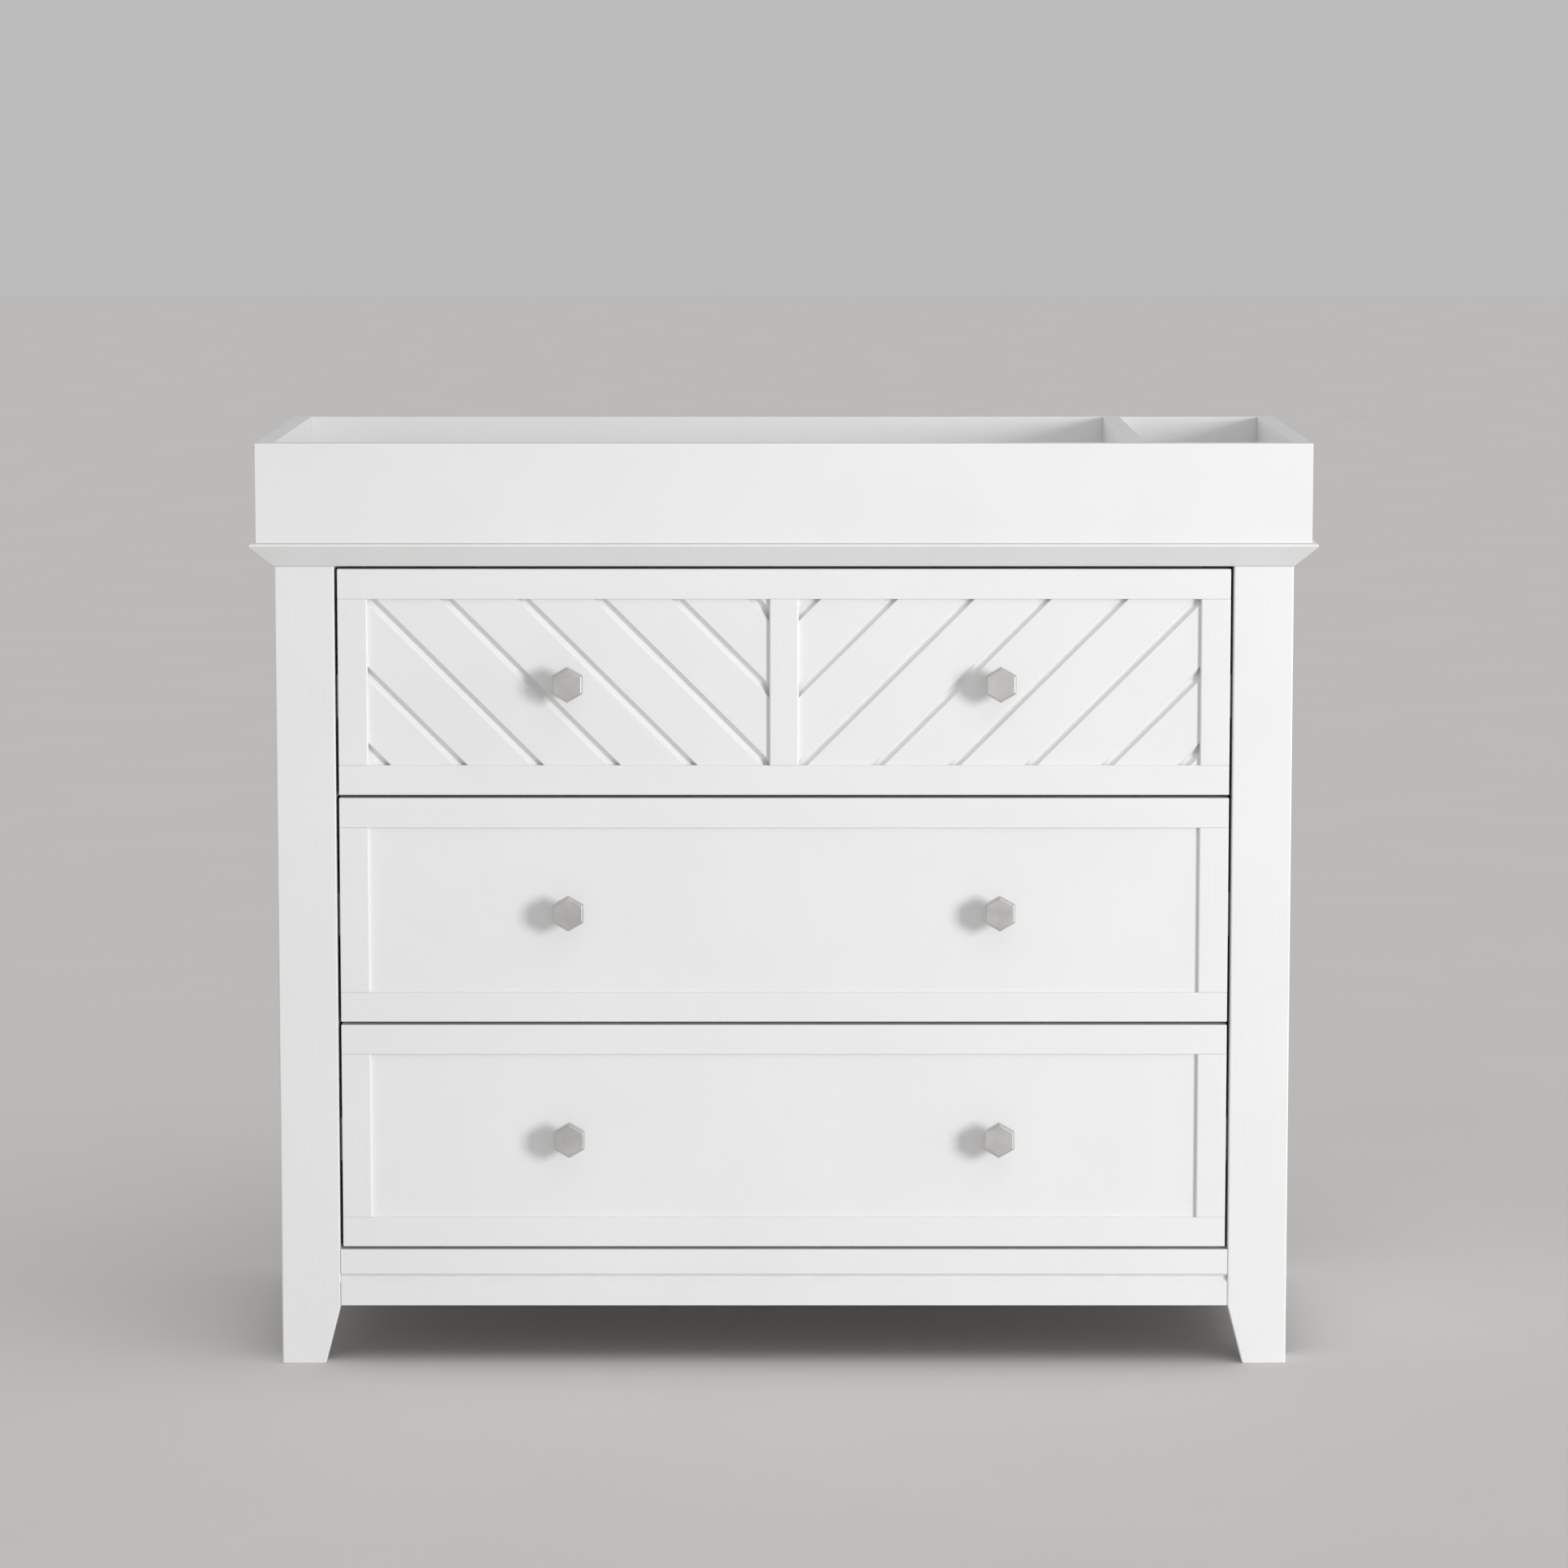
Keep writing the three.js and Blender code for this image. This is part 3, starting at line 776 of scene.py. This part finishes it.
def drawn_in(corners, amount):
    """A right-angled outline, each side moved inwards."""
    count = len(corners)
    crosses = []
    for i in range(count):
        before = Vector(corners[i]) - Vector(corners[i - 1])
        after = Vector(corners[(i + 1) % count]) - Vector(corners[i])
        crosses.append(before.cross(after))
    winding = 1 if sum(1 if c > 0 else -1 for c in crosses) > 0 else -1
    moved = []
    for i, corner in enumerate(corners):
        here = Vector(corner)
        inward = (Vector(corners[i - 1]) - here).normalized()
        inward += (Vector(corners[(i + 1) % count]) - here).normalized()
        outward_corner = 1 if crosses[i] * winding > 0 else -1
        moved.append(here + inward * amount * outward_corner)
    return moved


def frame_member(start, end, runs_along, slot_side, radii, ease, panel):
    """A rail or stile: a bar with a slot for the panel along one of its sides, its ends eased.
    slot_side is 1 where the slot is on the high side, -1 where it is on the low side."""
    across = 2 if runs_along == 0 else 0
    inner, outer = (end[across], start[across]) if slot_side > 0 else (start[across], end[across])
    slot_floor = inner - slot_side * SLOT_DEPTH
    corners = [
        (start.y, outer), (end.y, outer), (end.y, inner), (panel[1], inner), (panel[1], slot_floor),
        (panel[0], slot_floor), (panel[0], inner), (start.y, inner),
    ]
    rings = []
    first, last = start[runs_along], end[runs_along]
    part = ease * MIDDLE_OF_ROUND
    for along, shrink in (
        (first, ease), (first + part, part), (first + ease, 0),
        (last - ease, 0), (last - part, part), (last, ease),
    ):
        outline = rounded_outline(drawn_in(corners, shrink), radii)
        if runs_along == 0:
            rings.append([(along, y, z) for y, z in outline])
        else:
            rings.append([(x, y, along) for y, x in outline])
    return loft(rings)


rail_radii = [FRONT_ROUNDING] * 3 + [SLOT_ROUNDING] * 4 + [RAIL_INNER_ROUNDING]
stile_radii = [FRONT_ROUNDING] * 3 + [SLOT_ROUNDING] * 4 + [STILE_INNER_ROUNDING]

for level in LEVELS:
    body = f"{level}_drawer"
    node = f"{level}_drawer_front_frame"
    low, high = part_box(node)
    panel_low, panel_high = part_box(f"{level}_drawer_front_panel")
    panel = (panel_low.y, panel_high.y)
    rails = {
        "lower_rail": (low, Vector((high.x, high.y, low.z + FRAME_MEMBER)), 1),
        "upper_rail": (Vector((low.x, low.y, high.z - FRAME_MEMBER)), high, -1),
    }
    for name, (start, end, slot_side) in rails.items():
        make_piece(
            f"{level}_front_{name}",
            frame_member(start, end, 0, slot_side, rail_radii, FRONT_ROUNDING, panel),
            body, level_paint, stands_for=[node],
        )
    foot = low.z + FRAME_MEMBER + HAIRLINE
    head = high.z - FRAME_MEMBER - HAIRLINE
    left_edge, right_edge = low.x + FRAME_MEMBER, high.x - FRAME_MEMBER
    stiles = {
        "left_stile": (Vector((low.x, low.y, foot)), Vector((left_edge, high.y, head)), 1),
        "right_stile": (Vector((right_edge, low.y, foot)), Vector((high.x, high.y, head)), -1),
    }
    for name, (start, end, slot_side) in stiles.items():
        stile = frame_member(start, end, 2, slot_side, stile_radii, BUTT_EASE, panel)
        # Stub tenons fill the ends of the rails' slots, and reach as far back into the stile.
        for root, tip in ((foot, foot - SLOT_DEPTH), (head, head + SLOT_DEPTH)):
            tenon_z = sorted((tip, root + (root - tip)))
            tenon_low = (start.x + TENON_FIT, panel[0] + TENON_FIT, tenon_z[0])
            tenon_high = (end.x - TENON_FIT, panel[1] - TENON_FIT, tenon_z[1])
            add_block(stile, tenon_low, tenon_high)
        make_piece(f"{level}_front_{name}", stile, body, upright_paint, stands_for=[node])
# The panels of the two lower drawers are plain boards.
for level in ("bottom", "middle"):
    finish_node(f"{level}_drawer_front_panel", board_paint)


# Centre strip ---------------------------------------------------------------------------------
# A thin upright strip is glued over the middle of the top drawer's panel, between the rails. Its
# two front edges are rounded like the stiles'.

low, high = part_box("top_drawer_front_frame")
strip_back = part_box("top_drawer_front_panel")[0].y
strip_corners = [
    (-FRAME_MEMBER / 2, low.y), (FRAME_MEMBER / 2, low.y),
    (FRAME_MEMBER / 2, strip_back), (-FRAME_MEMBER / 2, strip_back),
]
strip_radii = [STILE_INNER_ROUNDING] * 2 + [SLOT_ROUNDING] * 2
foot = low.z + FRAME_MEMBER + HAIRLINE
head = high.z - FRAME_MEMBER - HAIRLINE
rings = []
for z, shrink in (
    (foot, BUTT_EASE), (foot + BUTT_EASE, 0), (head - BUTT_EASE, 0), (head, BUTT_EASE),
):
    outline = rounded_outline(drawn_in(strip_corners, shrink), strip_radii)
    rings.append([(x, y, z) for x, y in outline])
make_piece(
    "top_front_centre_strip", loft(rings), "top_drawer", upright_paint,
    stands_for=["top_drawer_front_frame"],
)


# Chevron panel --------------------------------------------------------------------------------
# The top drawer's panel is one board routed with round-bottomed V grooves. They fall at 45 degrees
# towards the centre strip from both sides, and their shoulders are sanded soft before painting.

GROOVE_PITCH = 0.0771
FIRST_GROOVE = 0.0130
GROOVE_HALF_WIDTH = 0.0049
GROOVE_WALL = math.radians(57)
GROOVE_BOTTOM_RADIUS = 0.0025
SHOULDER = 0.0004
GROOVES = range(-5, 3)
BOTTOM_STEPS = 5
SHOULDER_STEPS = (-1, -0.4, 0.2, 1)
CUT_TOLERANCE = 1e-7
WELD_DISTANCE = 1e-6


def groove_drop(away):
    """How far the face lies back at a distance from a groove's middle: two sloping walls over a
    round bottom, with a soft shoulder where they meet the face."""
    steepness = math.tan(GROOVE_WALL)
    if away < GROOVE_BOTTOM_RADIUS * math.sin(GROOVE_WALL):
        rise = GROOVE_BOTTOM_RADIUS - math.sqrt(GROOVE_BOTTOM_RADIUS ** 2 - away ** 2)
        sharp_depth = GROOVE_HALF_WIDTH * steepness
        return sharp_depth - GROOVE_BOTTOM_RADIUS * (1 / math.cos(GROOVE_WALL) - 1) - rise
    if away < GROOVE_HALF_WIDTH - SHOULDER:
        return (GROOVE_HALF_WIDTH - away) * steepness
    return (GROOVE_HALF_WIDTH + SHOULDER - away) ** 2 / (4 * SHOULDER) * steepness


front_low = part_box("top_drawer_front_frame")[0]
low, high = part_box("top_drawer_front_panel")
shape = bmesh.new()
right_half = [(0, low.z), (high.x, low.z), (high.x, high.z), (0, high.z)]
shape.faces.new([shape.verts.new((x, low.y, z)) for x, z in right_half])
slant = Vector((-1, 0, 1)).normalized()
middles = [front_low.z + FIRST_GROOVE + step * GROOVE_PITCH for step in GROOVES]
groove_edge = GROOVE_HALF_WIDTH + SHOULDER
turns = [GROOVE_WALL * step / BOTTOM_STEPS for step in range(1, BOTTOM_STEPS + 1)]
half_cuts = [GROOVE_BOTTOM_RADIUS * math.sin(turn) for turn in turns]
half_cuts += [GROOVE_HALF_WIDTH + SHOULDER * step for step in SHOULDER_STEPS]
cuts = sorted([0] + half_cuts + [-cut for cut in half_cuts])
for middle in middles:
    for cut in cuts:
        on_line = Vector((0, low.y, middle)) + slant * cut
        everything = shape.verts[:] + shape.edges[:] + shape.faces[:]
        bmesh.ops.bisect_plane(
            shape, geom=everything, plane_co=on_line, plane_no=slant, dist=CUT_TOLERANCE
        )
for vert in shape.verts:
    nearest = min(abs((vert.co - Vector((0, low.y, middle))).dot(slant)) for middle in middles)
    if nearest < groove_edge:
        vert.co.y += groove_drop(nearest)
# The left half is the right half mirrored, and the board's thickness is grown backwards.
copied = bmesh.ops.duplicate(shape, geom=shape.verts[:] + shape.edges[:] + shape.faces[:])
for item in copied["geom"]:
    if isinstance(item, bmesh.types.BMVert):
        item.co.x = -item.co.x
bmesh.ops.remove_doubles(shape, verts=shape.verts, dist=WELD_DISTANCE)
grown = bmesh.ops.extrude_face_region(shape, geom=shape.faces[:], use_keep_orig=True)
for item in grown["geom"]:
    if isinstance(item, bmesh.types.BMVert):
        item.co.y = high.y
make_piece(
    "top_front_chevron_panel", shape, "top_drawer", board_paint,
    stands_for=["top_drawer_front_panel"],
)


# Knobs ----------------------------------------------------------------------------------------
# Two hexagonal satin-nickel knobs a drawer, cast with a round stem. Each is held by one bolt
# whose low round head lies against the back of the drawer's front panel.

KNOB_DARK = (0.605, 0.597, 0.585)
KNOB_LIGHT = (0.69, 0.682, 0.67)
KNOB_ROUGHNESS = (0.36, 0.46)
BLASTED_RELIEF = 0.00002
FINE_LINE_RELIEF = 0.00001
KNOB_SIDES = 6
KNOB_SOFTENING = 0.0004
STEM_SIDES = 40
BOLT_RADIUS = 0.0045
BOLT_HEIGHT = 0.0018
HEAD_PROFILE = [(0.0160, 0.0), (0.0180, 0.0021), (0.0180, 0.0090), (0.0062, 0.0130)]
STEM_PROFILE = [
    (0.0064, 0.0100), (0.0064, 0.0200), (0.0066, 0.0240), (0.0073, 0.0270), (0.0086, 0.0292),
    (0.0090, 0.0300), (0.0090, 0.0317),
]


def satin_nickel(name):
    """Cast zinc under satin nickel: warm grey, faintly clouded, finely blasted."""
    material, tree, surface = start_finish(name, roughness=0.4, metallic=1.0)
    cloud = grain(tree, scale=55.0, detail=4.0)
    tree.links.new(ramp(tree, cloud, KNOB_DARK, KNOB_LIGHT), surface.inputs["Base Color"])
    tree.links.new(spread(tree, cloud, *KNOB_ROUGHNESS), surface.inputs["Roughness"])
    blasted = relief(tree, surface, grain(tree, scale=2600.0, detail=2.0), BLASTED_RELIEF)
    lines = grain(tree, scale=300.0, detail=3.0, stretch=(1, 1, 14))
    relief(tree, surface, lines, FINE_LINE_RELIEF, under=blasted)
    return material


knob_metal = satin_nickel("satin_nickel")

for level in LEVELS:
    panel_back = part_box(f"{level}_drawer_front_panel")[1].y
    bolts = []
    for hand in SIDES:
        node = f"{level}_drawer_knob_{hand}"
        low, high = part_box(node)
        centre = Vector(((low.x + high.x) / 2, low.y, (low.z + high.z) / 2))
        shape = bmesh.new()
        turned(shape, (0, 0, 0), (0, 0, 1), HEAD_PROFILE, KNOB_SIDES)
        bmesh.ops.bevel(
            shape, geom=shape.edges[:], offset=KNOB_SOFTENING, segments=2, profile=0.5, affect="EDGES"
        )
        turned(shape, (0, 0, 0), (0, 0, 1), STEM_PROFILE, STEM_SIDES)
        # The knob is made upright, then laid with its face to the front and a corner on top.
        corner = max((v.co for v in shape.verts), key=lambda co: math.hypot(co.x, co.y))
        turn = math.pi / 2 - math.atan2(corner.y, corner.x)
        for vert in shape.verts:
            x = vert.co.x * math.cos(turn) - vert.co.y * math.sin(turn)
            z = vert.co.x * math.sin(turn) + vert.co.y * math.cos(turn)
            vert.co = centre + Vector((x, vert.co.z, z))
        make_piece(
            f"{level}_knob_{hand}", shape, f"{level}_drawer", knob_metal,
            stands_for=[node],
        )
        bolts.append((centre.x, panel_back, centre.z))
    make_piece(
        f"{level}_knob_bolts", screw_heads(bolts, (0, 1, 0), BOLT_RADIUS, BOLT_HEIGHT),
        f"{level}_drawer", bright_steel,
    )


# Topper ---------------------------------------------------------------------------------------
# The topper is an open frame of painted boards with one divider. Cranked steel straps screwed to
# its back wall and to the chest's back edge keep it in place.

TOPPER_BOARDS = {
    "topper_front": "topper_wall_front",
    "topper_back": "topper_wall_back",
    "topper_left": "topper_wall_left",
    "topper_right": "topper_wall_right",
    "topper_divider": "topper_partition",
}
TOPPER_EASE = 0.0003
TOPPER_PULLED_DOWN = 0.0001
STRAP_PLACES = (-0.36, 0.0, 0.36)
STRAP_HALF_WIDTH = 0.009
STRAP_THICKNESS = 0.0015
STRAP_EASE = 0.0003
STRAP_ABOVE = (0.014, 0.046)
STRAP_BELOW = (0.004, 0.044)
STRAP_SCREWS_ABOVE = (0.024, 0.038)
STRAP_SCREWS_BELOW = (0.012, 0.034)
STRAP_SCREW_RADIUS = 0.0038
STRAP_SCREW_HEIGHT = 0.0018

for node, name in TOPPER_BOARDS.items():
    low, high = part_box(node)
    low.z -= TOPPER_PULLED_DOWN
    make_piece(
        name, eased_board(low, high, TOPPER_EASE), "chest", board_paint, stands_for=[node]
    )

wall_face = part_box("topper_back")[1].y
chest_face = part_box("top_panel")[1].y
joint_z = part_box("top_panel")[1].z
strap_line = [
    (wall_face, joint_z + STRAP_ABOVE[1]), (wall_face, joint_z + STRAP_ABOVE[0]),
    (chest_face, joint_z + STRAP_BELOW[0]), (chest_face, joint_z - STRAP_BELOW[1]),
]
outside = [(y + STRAP_THICKNESS, z) for y, z in reversed(strap_line)]
for number, x in enumerate(STRAP_PLACES, start=1):
    ends = (x - STRAP_HALF_WIDTH, x + STRAP_HALF_WIDTH)
    strap = loft([[(end, y, z) for y, z in strap_line + outside] for end in ends])
    bmesh.ops.recalc_face_normals(strap, faces=strap.faces)
    bmesh.ops.bevel(
        strap, geom=strap.edges[:], offset=STRAP_EASE, segments=2, profile=0.5, affect="EDGES"
    )
    make_piece(f"topper_strap_{number}", strap, "chest", slide_steel)
    heads = [(x, wall_face + STRAP_THICKNESS, joint_z + up) for up in STRAP_SCREWS_ABOVE]
    heads += [(x, chest_face + STRAP_THICKNESS, joint_z - down) for down in STRAP_SCREWS_BELOW]
    make_piece(
        f"topper_strap_screws_{number}",
        screw_heads(heads, (0, 1, 0), STRAP_SCREW_RADIUS, STRAP_SCREW_HEIGHT),
        "chest", bright_steel,
    )


# Studio ---------------------------------------------------------------------------------------
# A plain pale floor with an even light of its own from above, and an even grey room. The softboxes
# light the chest alone, so that they leave no pools on the floor. The camera looks a little down.

FLOOR_SIZE = 60.0
FLOOR_DARK = (0.67, 0.66, 0.645)
FLOOR_LIGHT = (0.685, 0.675, 0.66)
FLOOR_RELIEF = 0.0002
LIGHTS_AIM = Vector((0.0, 0.0, 0.55))
SOFTBOXES = {
    "key_light": {"place": (4.2, -4.5, 1.35), "width": 1.4, "height": 1.7, "power": 222.0},
    "side_light": {"place": (3.0, -0.2, 1.3), "width": 1.9, "height": 2.4, "power": 14.0},
    "front_fill": {"place": (0.3, -6.2, 1.3), "width": 3.0, "height": 2.4, "power": 10.0},
    "high_fill": {"place": (0.8, -2.6, 3.2), "width": 2.0, "height": 1.2, "power": 8.0},
    "rear_fill": {"place": (-2.6, 3.4, 1.5), "width": 2.2, "height": 2.2, "power": 55.0},
}
SKYLIGHT_PLACE = (1.2, -1.4, 4.0)
SKYLIGHT_STRENGTH = 0.8
SKYLIGHT_SPREAD = 60
ROOM_COLOUR = (0.5, 0.5, 0.5)
CAMERA_DISTANCE = 5.643
CAMERA_HEIGHT = 1.2877
CAMERA_DOWN = 7.0
CAMERA_LENS = 129.7


def pale_floor(name):
    """Matt, even and nearly white, with a faint unevenness."""
    material, tree, surface = start_finish(name, roughness=0.9)
    surface.inputs["Specular IOR Level"].default_value = 0.1
    colour = ramp(tree, grain(tree, scale=3.0, detail=5.0), FLOOR_DARK, FLOOR_LIGHT)
    tree.links.new(colour, surface.inputs["Base Color"])
    relief(tree, surface, grain(tree, scale=120.0, detail=4.0), FLOOR_RELIEF)
    return material


floor_mesh = bpy.data.meshes.new("studio_floor")
half = FLOOR_SIZE / 2
floor_corners = [(-half, -half, 0), (half, -half, 0), (half, half, 0), (-half, half, 0)]
floor_mesh.from_pydata(floor_corners, [], [(0, 1, 2, 3)])
floor_mesh.materials.append(pale_floor("pale_floor"))
floor = bpy.data.objects.new("studio_floor", floor_mesh)
bpy.context.scene.collection.objects.link(floor)
floor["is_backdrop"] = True

# The softboxes pass the floor by, and the skylight reaches nothing else.
lit_floor = bpy.data.collections.new("lit_floor")
lit_floor.objects.link(floor)
unlit_floor = bpy.data.collections.new("unlit_floor")
unlit_floor.objects.link(floor)
unlit_floor.collection_objects[0].light_linking.link_state = "EXCLUDE"

for name, box in SOFTBOXES.items():
    light = bpy.data.lights.new(name, "AREA")
    light.shape = "RECTANGLE"
    light.size, light.size_y = box["width"], box["height"]
    light.energy = box["power"]
    softbox = bpy.data.objects.new(name, light)
    softbox.location = box["place"]
    softbox.rotation_euler = (LIGHTS_AIM - softbox.location).to_track_quat("-Z", "Y").to_euler()
    softbox.visible_camera = False
    softbox.light_linking.receiver_collection = unlit_floor
    bpy.context.scene.collection.objects.link(softbox)

daylight = bpy.data.lights.new("floor_light", "SUN")
daylight.energy = SKYLIGHT_STRENGTH
daylight.angle = math.radians(SKYLIGHT_SPREAD)
skylight = bpy.data.objects.new("floor_light", daylight)
skylight.location = SKYLIGHT_PLACE
skylight.rotation_euler = (-skylight.location).to_track_quat("-Z", "Y").to_euler()
skylight.light_linking.receiver_collection = lit_floor
bpy.context.scene.collection.objects.link(skylight)

room = bpy.data.worlds.new("grey_room")
room.use_nodes = True
room.node_tree.nodes["Background"].inputs["Color"].default_value = (*ROOM_COLOUR, 1)
bpy.context.scene.world = room
bpy.context.scene.view_settings.view_transform = "Standard"

camera = bpy.data.objects.new("camera", bpy.data.cameras.new("camera"))
camera.data.lens = CAMERA_LENS
camera.location = (0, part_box("front_leg_left")[0].y - CAMERA_DISTANCE, CAMERA_HEIGHT)
camera.rotation_euler = (math.radians(90 - CAMERA_DOWN), 0, 0)
bpy.context.scene.collection.objects.link(camera)
bpy.context.scene.camera = camera

low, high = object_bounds()
